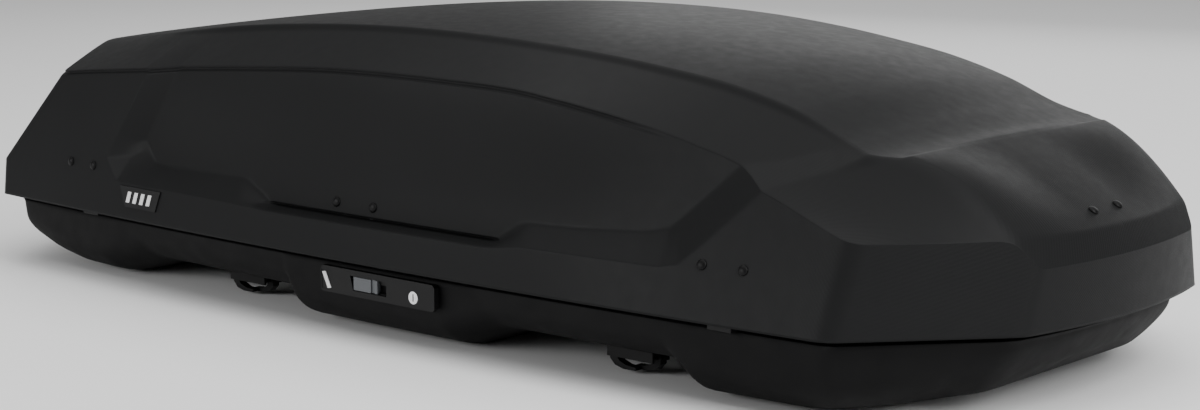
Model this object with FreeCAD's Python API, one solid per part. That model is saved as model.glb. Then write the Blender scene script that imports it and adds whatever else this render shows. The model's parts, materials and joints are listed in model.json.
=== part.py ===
"""Roof cargo box that opens from both sides.

Frame: millimetres, +X to the front of the box, +Z up, right side at -Y.
The origin is under the middle of the box, on the plane that the keels rest on.
"""
import FreeCAD
import Part
import math
import os

from FreeCAD import Vector

os.makedirs("parts", exist_ok=True)

# ---------------------------------------------------------------- driving sizes
LENGTH = 1900.0
MID_HALF_WIDTH = 420.0      # half width of the lid skirt at its widest
SIDE_BOW = 4.69e-5          # how fast the sides draw in towards the ends
WIDEST_X = -42.0

SEAM_Z = 109.0              # bottom edge of the lid skirt
SKIRT_TOP_Z = 160.0
LID_WALL = 4.0
SIDE_LEAN = 0.15            # inward lean of the sides, per mm of height
FRONT_LEAN = 0.36           # lean of the front quarters
RECESS_DEPTH = 24.0         # depth of the recessed side panel

FRONT_CORNER_X = 770.0      # side meets the front facet
FRONT_FACET_END = (924.0, 209.0)
REAR_CORNER_X = -827.0
REAR_FACET_END = (-925.0, 250.0)
REAR_LEAN = 0.86            # run per rise of the rear face
LIP_X = 771.0               # front edge of the crown, where the hood starts
LIP_Z = 306.0
STRIP_LOW_Z = 185.5         # chamfer strip along the front end
STRIP_HIGH_Z = 216.5

BASE_INSET = 27.0           # base wall inside the lid skirt
BASE_WALL = 4.0
GUTTER_Z = 99.0             # top of the gutter ledge inside the base wall
RIM_Z = 126.0               # top of the inner rim
RIM_Y = 352.0               # outside of the inner rim along the sides
KEEL_ROUND = 50.0           # rounding between side wall and keel
CHANNEL_Z = 34.0            # underside of the crossbar channels
FLOOR_Z = CHANNEL_Z + BASE_WALL

HINGE_Y = 372.0
HINGE_Z = 112.0
HINGE_X = (-613.0, -16.0, 612.0)
RIVET_HALF_PITCH = (29.7, 36.0, 29.5)
RIVET_Z = (179.0, 181.0, 175.0)
PIN_R = 4.0
RUN_CLEARANCE = 0.05        # radial clearance of a running pin
FACE_GAP = 0.3              # gap between faces that slide on each other
END_ZONE = 60.0             # length at each end where the inner skin is drawn in

LIFTER_BASE_Z = 95.0
LIFTER_LID_Z = 222.0
LIFTER_ARM = 225.0          # length of each lifter arm between pivots
COLLAR_X = 867.0            # inner end of the upper pivot's bush
COLLAR_LENGTH = 8.0

SLIDER_TRAVEL = 18.0
CLAMP_X = (410.0, -335.0)
CLAMP_Y = 292.0

SIDES = (("right", -1), ("left", 1))
ENDS = (("front", 1), ("rear", -1))


# ---------------------------------------------------------------- helpers
def interpolate(x, points):
    """Value at x on the polyline through (x, value) points."""
    if x <= points[0][0]:
        return points[0][1]
    for (xa, va), (xb, vb) in zip(points, points[1:]):
        if x <= xb:
            return va + (vb - va) * (x - xa) / (xb - xa)
    return points[-1][1]


def box(x0, x1, y0, y1, z0, z1):
    return Part.makeBox(x1 - x0, y1 - y0, z1 - z0, Vector(x0, y0, z0))


def cylinder(radius, length, start, axis):
    return Part.makeCylinder(radius, length, Vector(*start), Vector(*axis))


def prism(points, push):
    """Solid swept from a closed polygon along the vector push."""
    wire = Part.makePolygon([Vector(*p) for p in points + points[:1]])
    return Part.Face(wire).extrude(Vector(*push))


def fuse(shapes):
    result = shapes[0]
    for shape in shapes[1:]:
        result = result.fuse(shape)
    return result.removeSplitter()


def cut(shape, tools):
    for tool in tools:
        shape = shape.cut(tool)
    return shape


def flip_side(shape, sign):
    """The shape as drawn for the left side, or its mirror image for the right."""
    if sign > 0:
        return shape
    return shape.mirror(Vector(0, 0, 0), Vector(0, 1, 0))


def flip_end(shape, sign):
    if sign > 0:
        return shape
    return shape.mirror(Vector(0, 0, 0), Vector(1, 0, 0))


def save(name, shapes):
    """Write one node; a list of separate solids becomes a group."""
    if not isinstance(shapes, list):
        shapes = [shapes]
    solids = [solid for shape in shapes for solid in shape.Solids]
    for solid in solids:
        if not solid.isValid() or solid.Volume <= 0:
            print("CHECK", name, solid.isValid(), round(solid.Volume, 1))
    shape = solids[0] if len(solids) == 1 else Part.makeCompound(solids)
    shape.exportStep("parts/" + name + ".step")


# ---------------------------------------------------------------- outline of the box
def side_half_width(x):
    return MID_HALF_WIDTH - SIDE_BOW * (x - WIDEST_X) ** 2


def facet_half_width(x, corner_x, end):
    corner_y = side_half_width(corner_x)
    return corner_y + (end[1] - corner_y) * (x - corner_x) / (end[0] - corner_x)


def end_sag(y, end):
    """How far the curved end has drawn back at y from its middle."""
    return (LENGTH / 2 - abs(end[0])) * (y / end[1]) ** 2


def end_half_width(x, end):
    left = max(0.0, (LENGTH / 2 - abs(x)) / (LENGTH / 2 - abs(end[0])))
    return end[1] * math.sqrt(left)


def plan_half_width(x):
    """Half width of the lid skirt in plan at x."""
    width = side_half_width(x)
    if x > FRONT_CORNER_X:
        width = min(width, facet_half_width(x, FRONT_CORNER_X, FRONT_FACET_END))
    if x > FRONT_FACET_END[0]:
        width = end_half_width(x, FRONT_FACET_END)
    if x < REAR_CORNER_X:
        width = min(width, facet_half_width(x, REAR_CORNER_X, REAR_FACET_END))
    if x < REAR_FACET_END[0]:
        width = end_half_width(x, REAR_FACET_END)
    return max(width, 30.0)


def side_lean(x):
    return interpolate(x, [(200, SIDE_LEAN), (620, FRONT_LEAN), (770, FRONT_LEAN),
                           (800, 0.24), (924, 0.24)])


def wall_half_width(x, z):
    return max(plan_half_width(x) - side_lean(x) * (z - SEAM_Z), 20.0)


# ---------------------------------------------------------------- heights of the lid
LOWER_CREASE = [(-695, 311), (-495, 329), (-300, 345), (-90, 358), (105, 360),
                (300, 353), (460, 333), (600, 290), (642, 266), (777, 220), (907, 216)]
CROWN_CREASE = [(-790, 340), (-680, 354), (-512, 379), (-262, 404), (-36, 412),
                (221, 405), (414, 387), (580, 359), (720, 314), (771, 304)]
CROWN_HALF_WIDTH = [(-790, 270), (-512, 280), (-36, 280), (221, 275), (414, 258),
                    (580, 240), (720, 228), (771, 234)]
CROWN_RISE = [(-500, 10), (0, 16.5), (300, 20), (600, 16), (700, 8), (771, 2)]
HOOD_RIDGE = [(642, 341, 266), (777, 352, 220), (907, 205, 216.5)]


def crown_height(x, y):
    edge = interpolate(x, CROWN_HALF_WIDTH)
    rise = interpolate(x, CROWN_RISE)
    return interpolate(x, CROWN_CREASE) + rise * (1 - (y / edge) ** 2)


def shoulder_height(x, y):
    """Band that falls from the crown crease to the lower crease."""
    inner = interpolate(x, CROWN_HALF_WIDTH)
    outer = 360.0
    low = interpolate(x, LOWER_CREASE)
    high = interpolate(x, CROWN_CREASE)
    return low + (high - low) * (outer - y) / (outer - inner)


def hood_height(x, y):
    """Hood between the chamfer strip and the lip of the crown."""
    front = LENGTH / 2 - end_sag(min(y, FRONT_FACET_END[1]), FRONT_FACET_END) - 18.0
    back = max(front - x, 0.0)
    full = front - LIP_X
    bend = (0.80 * full - (LIP_Z - STRIP_HIGH_Z)) / full ** 2
    centre = STRIP_HIGH_Z + 0.80 * back - bend * back ** 2
    fold = interpolate(x, [(LIP_X, 234), (907, 205)])
    if y > fold:
        ridge_y = interpolate(x, [(p[0], p[1]) for p in HOOD_RIDGE])
        ridge_z = interpolate(x, [(p[0], p[2]) for p in HOOD_RIDGE])
        centre = centre + (ridge_z - centre) * min(1.0, (y - fold) / max(ridge_y - fold, 1.0))
    return centre


def strip_height(x, y):
    front = LENGTH / 2 - end_sag(min(y, FRONT_FACET_END[1]), FRONT_FACET_END)
    return STRIP_LOW_Z + max(front - x, 0.0) / 0.57


def rear_height(x, y):
    middle = LENGTH / 2 - end_sag(y, REAR_FACET_END) + x
    facet = (plan_half_width(max(x, REAR_CORNER_X)) - y) * 0.571
    facet = facet + (x - REAR_CORNER_X) * 0.821
    return SKIRT_TOP_Z + 4.0 + max(min(middle, facet), 0.0) / REAR_LEAN


def roof_height(x, y):
    height = rear_height(x, y)
    if x < LIP_X:
        height = min(height, crown_height(x, y), shoulder_height(x, y))
    else:
        height = min(height, hood_height(x, y), strip_height(x, y))
    return height


def recess(x):
    return interpolate(x, [(-520, 0), (-450, RECESS_DEPTH), (520, RECESS_DEPTH), (600, 0)])


def lid_section(x):
    """Half section of the lid at x, from the skirt's bottom edge to the middle."""
    low, high = SKIRT_TOP_Z, 400.0
    for _ in range(40):
        middle = (low + high) / 2
        if roof_height(x, wall_half_width(x, middle)) > middle:
            low = middle
        else:
            high = middle
    eave_z = low
    eave_y = wall_half_width(x, eave_z) - 0.5 * recess(x)
    panel_z = min(SKIRT_TOP_Z + 4.0, (SKIRT_TOP_Z + eave_z) / 2 + 2.0)
    panel_y = wall_half_width(x, panel_z) - recess(x)
    crease = min(interpolate(x, CROWN_HALF_WIDTH), 0.8 * eave_y)
    if x > LIP_X:
        crease = min(interpolate(x, [(LIP_X, 234), (907, 205)]), 0.8 * eave_y)
    points = [(plan_half_width(x), SEAM_Z),
              (wall_half_width(x, SKIRT_TOP_Z), SKIRT_TOP_Z),
              (panel_y, panel_z),
              (eave_y, eave_z),
              (crease, roof_height(x, crease)),
              (crease / 2, roof_height(x, crease / 2)),
              (0.0, roof_height(x, 0.0))]
    return points


LID_STATIONS = [-950, -946, -925, -880, -827, -788, -740, -690, -600, -520, -450, -300,
                -170, -36, 105, 300, 420, 520, 600, 642, 720, 771, 800, 850, 907, 924, 944, 950]


# ---------------------------------------------------------------- heights of the base
KEEL_LINE = [(-923, 74), (-900, 60), (-850, 42), (-750, 17), (-560, 0), (-488, 0),
             (-456, CHANNEL_Z), (-174, CHANNEL_Z), (-142, 0), (213, 0), (245, CHANNEL_Z),
             (526, CHANNEL_Z), (575, 0), (690, 0), (780, 10), (850, 32), (895, 62), (923, 84)]


def base_half_width(x):
    """Outside of the base wall, set in from the lid skirt."""
    reach = (LENGTH / 2) / (LENGTH / 2 - BASE_INSET)
    width = plan_half_width(x * reach) - BASE_INSET
    if abs(x) > FRONT_CORNER_X:
        width = width - 6.0
    return max(width, 24.0)


def base_section(x):
    """Half section of the base, from the top of the rim to the middle."""
    wall = base_half_width(x)
    rim = min(RIM_Y, wall - 9.0)
    keel = interpolate(x, KEEL_LINE)
    side_low = max(keel + 0.45 * (GUTTER_Z - keel), keel + 2.0)
    rounding = min(KEEL_ROUND, 0.6 * wall)
    return [(rim, RIM_Z),
            (rim, GUTTER_Z),
            (wall, GUTTER_Z - 0.5),
            (wall - 3.0, side_low),
            (wall - 0.30 * rounding, keel + 0.18 * (side_low - keel) + 2.0),
            (wall - rounding, keel),
            (wall * 0.4, keel),
            (0.0, keel)]


BASE_STATIONS = [-923, -915, -900, -850, -750, -650, -560, -488, -456, -174, -142, 0, 213,
                 245, 526, 575, 690, 780, 850, 880, 895, 915, 923]


# ---------------------------------------------------------------- thin shells from sections
def full_section(x, half):
    left = [Vector(x, y, z) for y, z in half]
    right = [Vector(x, -y, z) for y, z in half[-2::-1]]
    return left + right


def triangle(a, b, c):
    return Part.Face(Part.makePolygon([a, b, c, a]))


def quad(a, b, c, d):
    faces = []
    if a.distanceToPoint(c) < 1e-6 or b.distanceToPoint(d) < 1e-6:
        return faces
    for corner in ((a, b, c), (a, c, d)):
        if (corner[1] - corner[0]).cross(corner[2] - corner[0]).Length > 1e-6:
            faces.append(triangle(*corner))
    return faces


def skin(rows):
    faces = []
    for row, following in zip(rows, rows[1:]):
        for i in range(len(row) - 1):
            faces += quad(row[i], row[i + 1], following[i + 1], following[i])
    return faces


def end_cap(row):
    """Flat end that closes one section, as strips across the width."""
    faces = []
    last = len(row) - 1
    for i in range(len(row) // 2):
        faces += quad(row[i], row[i + 1], row[last - i - 1], row[last - i])
    return faces


def thin_shell(outer, inner):
    """Solid between an outer and an inner skin that share one open edge."""
    faces = skin(outer) + skin(inner)
    for rows in (outer, inner):
        faces += end_cap(rows[0]) + end_cap(rows[-1])
    for side in (0, -1):
        edge = [[a[side], b[side]] for a, b in zip(outer, inner)]
        for pair, following in zip(edge, edge[1:]):
            faces += quad(pair[0], pair[1], following[1], following[0])
    for end in (0, -1):
        faces += quad(outer[end][0], inner[end][0], inner[end][-1], outer[end][-1])
    shell = Part.Shell(Part.Compound(faces).Faces)
    shell.sewShape()
    solid = Part.Solid(shell)
    if solid.Volume < 0:
        solid.reverse()
    return solid


def lid_inner_section(x):
    half = lid_section(x)
    inner = [(half[0][0] - LID_WALL, SEAM_Z)]
    for y, z in half[1:]:
        inner.append((max(y - LID_WALL, 0.0), z - LID_WALL - 0.5))
    inner[4] = (half[4][0], half[4][1] - LID_WALL - 0.5)
    inner[5] = (half[5][0], half[5][1] - LID_WALL - 0.5)
    return inner


def base_inner_section(x):
    half = base_section(x)
    inner = [(half[0][0] - 3.0, RIM_Z), (half[0][0] - 3.0, GUTTER_Z - 3.5)]
    inner.append((half[2][0] - BASE_WALL, GUTTER_Z - 4.0))
    for y, z in half[3:5]:
        inner.append((y - BASE_WALL, z + 2.0))
    for y, z in half[5:]:
        inner.append((y, z + BASE_WALL))
    return inner


def shell_rows(stations, outer_section, inner_section, wall):
    """Sections of the outer and inner skins, with the inner one drawn in near the ends."""
    outer = [full_section(x, outer_section(x)) for x in stations]
    inner = []
    for x in stations:
        to_end = abs(stations[0] if x < 0 else stations[-1]) - abs(x)
        moved = math.copysign(abs(x) - wall, x) if to_end < END_ZONE else x
        inner.append(full_section(moved, inner_section(x)))
    return outer, inner


# ---------------------------------------------------------------- lid
def rivet_places():
    """Every side rivet: x, z, outside of the lid wall, inner face of the bracket."""
    places = []
    for x_mid, half_pitch, z in zip(HINGE_X, RIVET_HALF_PITCH, RIVET_Z):
        for x in (x_mid - half_pitch, x_mid + half_pitch):
            inner_y = bracket_face_y(x_mid, z) - BRACKET_PLATE
            places.append((x, z, lid_wall_y(x, z), inner_y))
    return places


def lid_wall_y(x, z):
    """Outside of the lid wall at height z above the skirt."""
    half = lid_section(x)
    (low_y, low_z), (high_y, high_z) = half[2], half[3]
    return low_y + (high_y - low_y) * (z - low_z) / (high_z - low_z)


def end_normal(sign):
    """Outward normal of the hood (sign 1) or of the rear face (sign -1)."""
    if sign > 0:
        return Vector(0.6, 0, 0.8)
    return Vector(-1.0, 0, REAR_LEAN).normalize()


END_RIVET_X = 905.0
END_RIVET_Y = 29.0
END_PLATE_DEPTH = 8.5       # lid surface to the lifter bracket's plate at the rivets


def end_rivet_base(sign, y):
    x = END_RIVET_X
    return Vector(sign * x, y, roof_height(sign * x, y))


def make_lid_shell():
    outer, inner = shell_rows(LID_STATIONS, lid_section, lid_inner_section, LID_WALL)
    lid = thin_shell(outer, inner)
    holes = []
    for x, z, wall_y, _ in rivet_places():
        holes.append(cylinder(2.6, 40, (x, wall_y - 25, z), (0, 1, 0)))
        holes.append(cylinder(2.6, 40, (x, -wall_y - 15, z), (0, 1, 0)))
    for _, sign in ENDS:
        for y in (-END_RIVET_Y, END_RIVET_Y):
            normal = end_normal(sign)
            start = end_rivet_base(sign, y) - normal * 20
            holes.append(Part.makeCylinder(2.6, 40, start, normal))
    return cut(lid, holes)


def rivet(start, normal, grip):
    """Domed rivet: head outside at start, shank inwards, flat tail inside."""
    head = Part.makeSphere(7.0, start - normal * 4.2)
    keep = Part.makeCylinder(8.0, 8.0, start + normal * 0.1, normal)
    shank = Part.makeCylinder(2.5, grip, start + normal * 0.3, normal * -1)
    tail = Part.makeCylinder(4.2, 1.6, start - normal * grip, normal * -1)
    return fuse([head.common(keep), shank, tail])


def make_side_rivets():
    rivets = []
    for _, sign in SIDES:
        for x, z, wall_y, inner_y in rivet_places():
            head_y = wall_y + 0.8 + RIVET_HEAD_R * side_lean(x)
            start = Vector(x, sign * head_y, z)
            rivets.append(rivet(start, Vector(0, sign, 0), head_y - inner_y + 0.4))
    return rivets


def make_end_rivets():
    rivets = []
    for _, sign in ENDS:
        for y in (-END_RIVET_Y, END_RIVET_Y):
            normal = end_normal(sign)
            start = end_rivet_base(sign, y) + normal * 0.5
            rivets.append(rivet(start, normal, 0.5 + END_PLATE_DEPTH + 3.3))
    return rivets


RIVET_HEAD_R = 5.6
BRACKET_MARGIN = 6.5        # bracket plate beyond its outer rivets
BRACKET_PLATE = 3.0
EAR_INNER = 22.0
EAR_OUTER = 28.0


def bracket_reach(x_mid):
    return RIVET_HALF_PITCH[HINGE_X.index(x_mid)] + BRACKET_MARGIN


def bracket_face_y(x_mid, z):
    """Face of a hinge bracket against the lid, clear of the wall along its length."""
    reach = bracket_reach(x_mid)
    ends = (x_mid - reach, x_mid, x_mid + reach)
    top = min(lid_wall_y(x, 194.0) for x in ends)
    low = min(lid_wall_y(x, 168.0) for x in ends)
    return low + (top - low) * (z - 168.0) / 26.0 - LID_WALL - 2.9


def hinge_bracket(x_mid):
    """Steel bracket riveted inside the lid, with two ears for the hinge pin."""
    top_y = bracket_face_y(x_mid, 194.0)
    mid_y = bracket_face_y(x_mid, 168.0)
    reach = bracket_reach(x_mid)
    start_x = x_mid - reach
    plate = [(start_x, top_y, 194), (start_x, mid_y, 168),
             (start_x, mid_y - BRACKET_PLATE, 168), (start_x, top_y - BRACKET_PLATE, 194)]
    parts = [prism(plate, (2 * reach, 0, 0))]
    neck = min(mid_y, HINGE_Y + 5.0)
    for x in (x_mid - EAR_OUTER, x_mid + EAR_INNER):
        ear = [(x, HINGE_Y + 9, HINGE_Z), (x, HINGE_Y + 5, 146), (x, neck, 152),
               (x, mid_y - 1, 168), (x, top_y - 1, 192), (x, top_y - 6, 192),
               (x, mid_y - 10, 160), (x, HINGE_Y - 9, 140), (x, HINGE_Y - 9, HINGE_Z)]
        parts.append(prism(ear, (EAR_OUTER - EAR_INNER, 0, 0)))
        parts.append(cylinder(9.0, EAR_OUTER - EAR_INNER, (x, HINGE_Y, HINGE_Z), (1, 0, 0)))
    bracket = fuse(parts)
    tools = [cylinder(PIN_R + RUN_CLEARANCE, 80, (x_mid - 40, HINGE_Y, HINGE_Z), (1, 0, 0)),
             box(x_mid - 40, x_mid + 40, HINGE_Y - 6, HINGE_Y + 6, 119, 129)]
    half_pitch = RIVET_HALF_PITCH[HINGE_X.index(x_mid)]
    z = RIVET_Z[HINGE_X.index(x_mid)]
    for x in (x_mid - half_pitch, x_mid + half_pitch):
        inner_y = bracket_face_y(x_mid, z) - BRACKET_PLATE
        tools.append(cylinder(2.6, 60, (x, HINGE_Y - 40, z), (0, 1, 0)))
        tools.append(cylinder(5.0, 40, (x, inner_y - 40.3, z), (0, 1, 0)))
    return cut(bracket, tools)


def hinge_pin(x_mid):
    shaft = cylinder(PIN_R, 68, (x_mid - 34, HINGE_Y, HINGE_Z), (1, 0, 0))
    collars = [cylinder(6.0, 2.0, (x, HINGE_Y, HINGE_Z), (1, 0, 0))
               for x in (x_mid - 34, x_mid + 32)]
    return fuse([shaft] + collars)


def make_lifter_lid_bracket(sign):
    """Bracket under the end of the lid that carries the pivot of the upper lifter arm."""
    normal = end_normal(sign)
    along = Vector(-normal.z * sign, 0, abs(normal.x))
    origin = end_rivet_base(sign, 0.0) - normal * END_PLATE_DEPTH
    corners = []
    for step, y in ((-12, -42), (-12, 42), (14, 42), (14, -42)):
        corners.append(tuple(origin + along * step + Vector(0, y, 0)))
    plate = prism(corners, tuple(normal * -3.0))
    low_x = min(abs(corner[0]) for corner in corners)
    web = box(low_x - 1.0, low_x + 3.0, -20, 20, LIFTER_LID_Z - 12, LIFTER_LID_Z)
    pin = cylinder(PIN_R, low_x - COLLAR_X, (COLLAR_X, 0, LIFTER_LID_Z), (1, 0, 0))
    bracket = fuse([plate, flip_end(web, sign), flip_end(pin, sign)])
    holes = []
    for y in (-END_RIVET_Y, END_RIVET_Y):
        inner = end_rivet_base(sign, y) - normal * (END_PLATE_DEPTH + 3.0)
        holes.append(Part.makeCylinder(2.6, 20, inner - normal * 10, normal))
        holes.append(Part.makeCylinder(5.0, 30, inner - normal * 30, normal))
    return cut(bracket, holes)


BADGE_TOP = (-508.0, -408.0, 158.0)
BADGE_LOW = (-491.0, -417.0, 128.0)
BADGE_BAR_X = (-485.0, -468.5, -452.0, -435.5)
BADGE_BAR_Z = (135.0, 151.0)
BADGE_BAR_WIDTH = 8.0
BADGE_BAR_SLANT = 4.0       # how far the foot of each bar lies behind its top


def skirt_point(x, z, proud):
    return Vector(x, wall_half_width(x, z) + proud, z)


def badge_solid(corners, low, high):
    """Thin plate that lies along the skirt between two offsets."""
    back = [skirt_point(x, z, low) for x, z in corners]
    push = Vector(0, high - low, 0)
    front = [p + push for p in back]
    faces = quad(*back) + quad(*front)
    for i in range(4):
        j = (i + 1) % 4
        faces += quad(back[i], back[j], front[j], front[i])
    shell = Part.Shell(faces)
    shell.sewShape()
    solid = Part.Solid(shell)
    if solid.Volume < 0:
        solid.reverse()
    return solid


def make_badge():
    corners = [(BADGE_TOP[0], BADGE_TOP[2]), (BADGE_TOP[1], BADGE_TOP[2]),
               (BADGE_LOW[1], BADGE_LOW[2]), (BADGE_LOW[0], BADGE_LOW[2])]
    return badge_solid(corners, 0.3, 2.0)


def make_badge_bars():
    bars = []
    low, high = BADGE_BAR_Z
    for x in BADGE_BAR_X:
        foot = x - BADGE_BAR_SLANT
        corners = [(x, high), (x + BADGE_BAR_WIDTH, high), (foot + BADGE_BAR_WIDTH, low),
                   (foot, low)]
        bars.append(badge_solid(corners, 2.05, 2.8))
    return bars


# ---------------------------------------------------------------- base
LOCK_X = (-69.0, 152.0)
LOCK_HEIGHT = (58.5, 94.5)
LOCK_PROUD = 9.0            # outer face of the lock housing beyond the base wall
WINDOW_X = (-10.0, 61.0)
WINDOW_Z = (66.5, 86.5)
WINDOW_FLOOR = 3.5          # floor of the slider window beyond the base wall
SLIDER_X = (-4.0, 42.5)
KEY_X = 112.5
KEY_Z = 72.7
ROD_Y = (357.0, 360.0)
ARM_SLOT_X = (24.0, 40.0)
SCREW_Y = 357.6
SCREW_STEP = 12.0


def base_wall_y(x):
    return base_half_width(x)


def clamp_places():
    for front_rear, x in zip(("front", "rear"), CLAMP_X):
        for side, sign in SIDES:
            yield side + "_" + front_rear, x, sign * CLAMP_Y


def make_base_pan():
    outer, inner = shell_rows(BASE_STATIONS, base_section, base_inner_section, BASE_WALL)
    pan = thin_shell(outer, inner)
    tools = []
    for _, x, y in clamp_places():
        tools.append(box(x - 38, x + 38, y - 10, y + 10, CHANNEL_Z - 2, FLOOR_Z + 2))
    for _, sign in SIDES:
        wall = base_wall_y(20)
        slot = box(ARM_SLOT_X[0] - 4, ARM_SLOT_X[1] + SLIDER_TRAVEL + 4, wall - 16, wall + 6, 67, 81)
        riser = box(ARM_SLOT_X[0] - 4, ARM_SLOT_X[1] + SLIDER_TRAVEL + 4, wall - 16, wall - 8, 67, 101)
        tools.append(flip_side(slot, sign))
        tools.append(flip_side(riser, sign))
        tools.append(flip_side(cylinder(10, 30, (KEY_X, wall - 14, KEY_Z), (0, 1, 0)), sign))
        for x_mid in HINGE_X:
            for step in (-SCREW_STEP, SCREW_STEP):
                tools.append(flip_side(screw_hole(x_mid + step), sign))
    return cut(pan, tools)


def hinge_saddle(x_mid):
    """Saddle with an open-topped cradle for the hinge pin and a guide for the lock rod."""
    body = box(x_mid - 18, x_mid + 18, HINGE_Y - 10, HINGE_Y + 10, GUTTER_Z, 115)
    foot = box(x_mid - 18, x_mid + 18, 353.5, HINGE_Y - 10, GUTTER_Z, 103.5)
    guide = box(x_mid - 18, x_mid + 18, 353.5, ROD_Y[0] - FACE_GAP, GUTTER_Z, 113)
    saddle = fuse([body, foot, guide])
    cradle = cylinder(PIN_R + RUN_CLEARANCE, 50, (x_mid - 25, HINGE_Y, HINGE_Z), (1, 0, 0))
    slot = box(x_mid - 25, x_mid + 25, HINGE_Y - PIN_R - RUN_CLEARANCE,
               HINGE_Y + PIN_R + RUN_CLEARANCE, HINGE_Z, 120)
    holes = [screw_hole(x_mid - SCREW_STEP), screw_hole(x_mid + SCREW_STEP)]
    return cut(saddle, [cradle, slot] + holes)


def saddle_screw(x):
    """Pan-head screw that passes up through the ledge into a saddle."""
    head = cylinder(3.2, 2.0, (x, SCREW_Y, GUTTER_Z - 6.2), (0, 0, 1))
    shank = cylinder(1.5, 7.0, (x, SCREW_Y, GUTTER_Z - 4.2), (0, 0, 1))
    return fuse([head, shank])


def screw_hole(x):
    return cylinder(1.6, 12.0, (x, SCREW_Y, GUTTER_Z - 8.0), (0, 0, 1))


def make_lifter_base_bracket():
    """Bracket on the end wall that carries the pivot of the lower lifter arm."""
    plate = box(911, 914, -40, 40, 88, 122)
    web = box(897, 912, -12, 12, LIFTER_BASE_Z - 9, LIFTER_BASE_Z + 9)
    pin = cylinder(PIN_R, 25, (872.0, 0, LIFTER_BASE_Z), (1, 0, 0))
    return fuse([plate, web, pin])


def floor_stiffener():
    """Hollow profile that bridges the crossbar channels lengthwise."""
    rail = box(-440, 510, -14, 14, FLOOR_Z, FLOOR_Z + 9)
    bore = box(-445, 515, -12, 12, FLOOR_Z + 2, FLOOR_Z + 7)
    return rail.cut(bore)


def make_lock_housing():
    """Cover plate under the skirt, with a slider window and a key bore."""
    x0, x1 = LOCK_X
    z0, z1 = LOCK_HEIGHT
    wall = base_wall_y(30)
    outline = [(x0, wall + 1, z0 + 3), (x0, wall + 1, z1 - 6), (x0 + 4, wall + 1, z1),
               (x1 - 4, wall + 1, z1), (x1, wall + 1, z1 - 4), (x1, wall + 1, z0 + 4),
               (x1 - 4, wall + 1, z0), (x0 + 4, wall + 1, z0)]
    plate = prism(outline, (0, LOCK_PROUD - 1, 0))
    low, high = WINDOW_Z
    floor_y = wall + WINDOW_FLOOR
    window = prism([(WINDOW_X[0] + 6, floor_y, low), (WINDOW_X[1], floor_y, low),
                    (WINDOW_X[1], floor_y, high), (WINDOW_X[0], floor_y, high)], (0, 20, 0))
    stem_slot = box(ARM_SLOT_X[0] - 4, ARM_SLOT_X[1] + SLIDER_TRAVEL + 4, wall - 1, wall + 8, 68, 80)
    key_bore = cylinder(8.5 + RUN_CLEARANCE, 30, (KEY_X, wall - 2, KEY_Z), (0, 1, 0))
    marker_bed = box(-67.2, -46, wall + LOCK_PROUD - 0.8, wall + 20, 62, 89)
    return cut(plate, [window, stem_slot, key_bore, marker_bed])


def make_lock_slider():
    wall = base_wall_y(30)
    pad = box(SLIDER_X[0], SLIDER_X[1], wall + WINDOW_FLOOR + FACE_GAP, wall + LOCK_PROUD - 1,
              WINDOW_Z[0] + 1, WINDOW_Z[1] - 1)
    grip = box(SLIDER_X[0] + 34, SLIDER_X[0] + 42, wall + LOCK_PROUD - 3, wall + 20, 60, 90)
    pad = pad.cut(grip)
    stem = box(ARM_SLOT_X[0], ARM_SLOT_X[1], wall - 8, wall + WINDOW_FLOOR + 1, 69.5, 78.5)
    return fuse([pad, stem])


def make_lock_marker():
    wall = base_wall_y(30)
    back = wall + LOCK_PROUD - 0.75
    outline = [(-66, back, 85.5), (-59, back, 86.5), (-48, back, 64.5), (-55, back, 63.5)]
    return prism(outline, (0, 1.0, 0))


def make_key_cylinder():
    wall = base_wall_y(30)
    barrel = cylinder(8.5, LOCK_PROUD + 2.3, (KEY_X, wall - 2, KEY_Z), (0, 1, 0))
    keyway = box(KEY_X - 1.1, KEY_X + 1.1, wall + 3, wall + 20, KEY_Z - 5, KEY_Z + 5)
    tang = box(KEY_X - 3, KEY_X + 3, wall - 13, wall - 1, KEY_Z - 4, KEY_Z + 4)
    return fuse([barrel.cut(keyway), tang])


def make_lock_rod():
    """Flat rod in the gutter with one bolt finger per hinge bracket."""
    parts = [box(HINGE_X[0] - 40, HINGE_X[2] + 40, ROD_Y[0], ROD_Y[1], 103.8, 126)]
    for x_mid in HINGE_X:
        parts.append(box(x_mid - 8, x_mid - 2, ROD_Y[0], 376, 120.5, 126))
        parts.append(box(x_mid - 8, x_mid + 19, 368, 376, 120.5, 126))
    wall = base_wall_y(20)
    x0, x1 = ARM_SLOT_X
    parts.append(box(x0, x1, ROD_Y[0], wall - 8.3, 103.8, 107))
    parts.append(box(x0, x1, wall - 11.3, wall - 8.3, 69.5, 107))
    return fuse(parts)


# ---------------------------------------------------------------- lid lifters
def elbow():
    """Elbow of the folded lifter arms: y and z."""
    half = (LIFTER_LID_Z - LIFTER_BASE_Z) / 2
    return math.sqrt(LIFTER_ARM ** 2 - half ** 2), (LIFTER_LID_Z + LIFTER_BASE_Z) / 2


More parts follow.
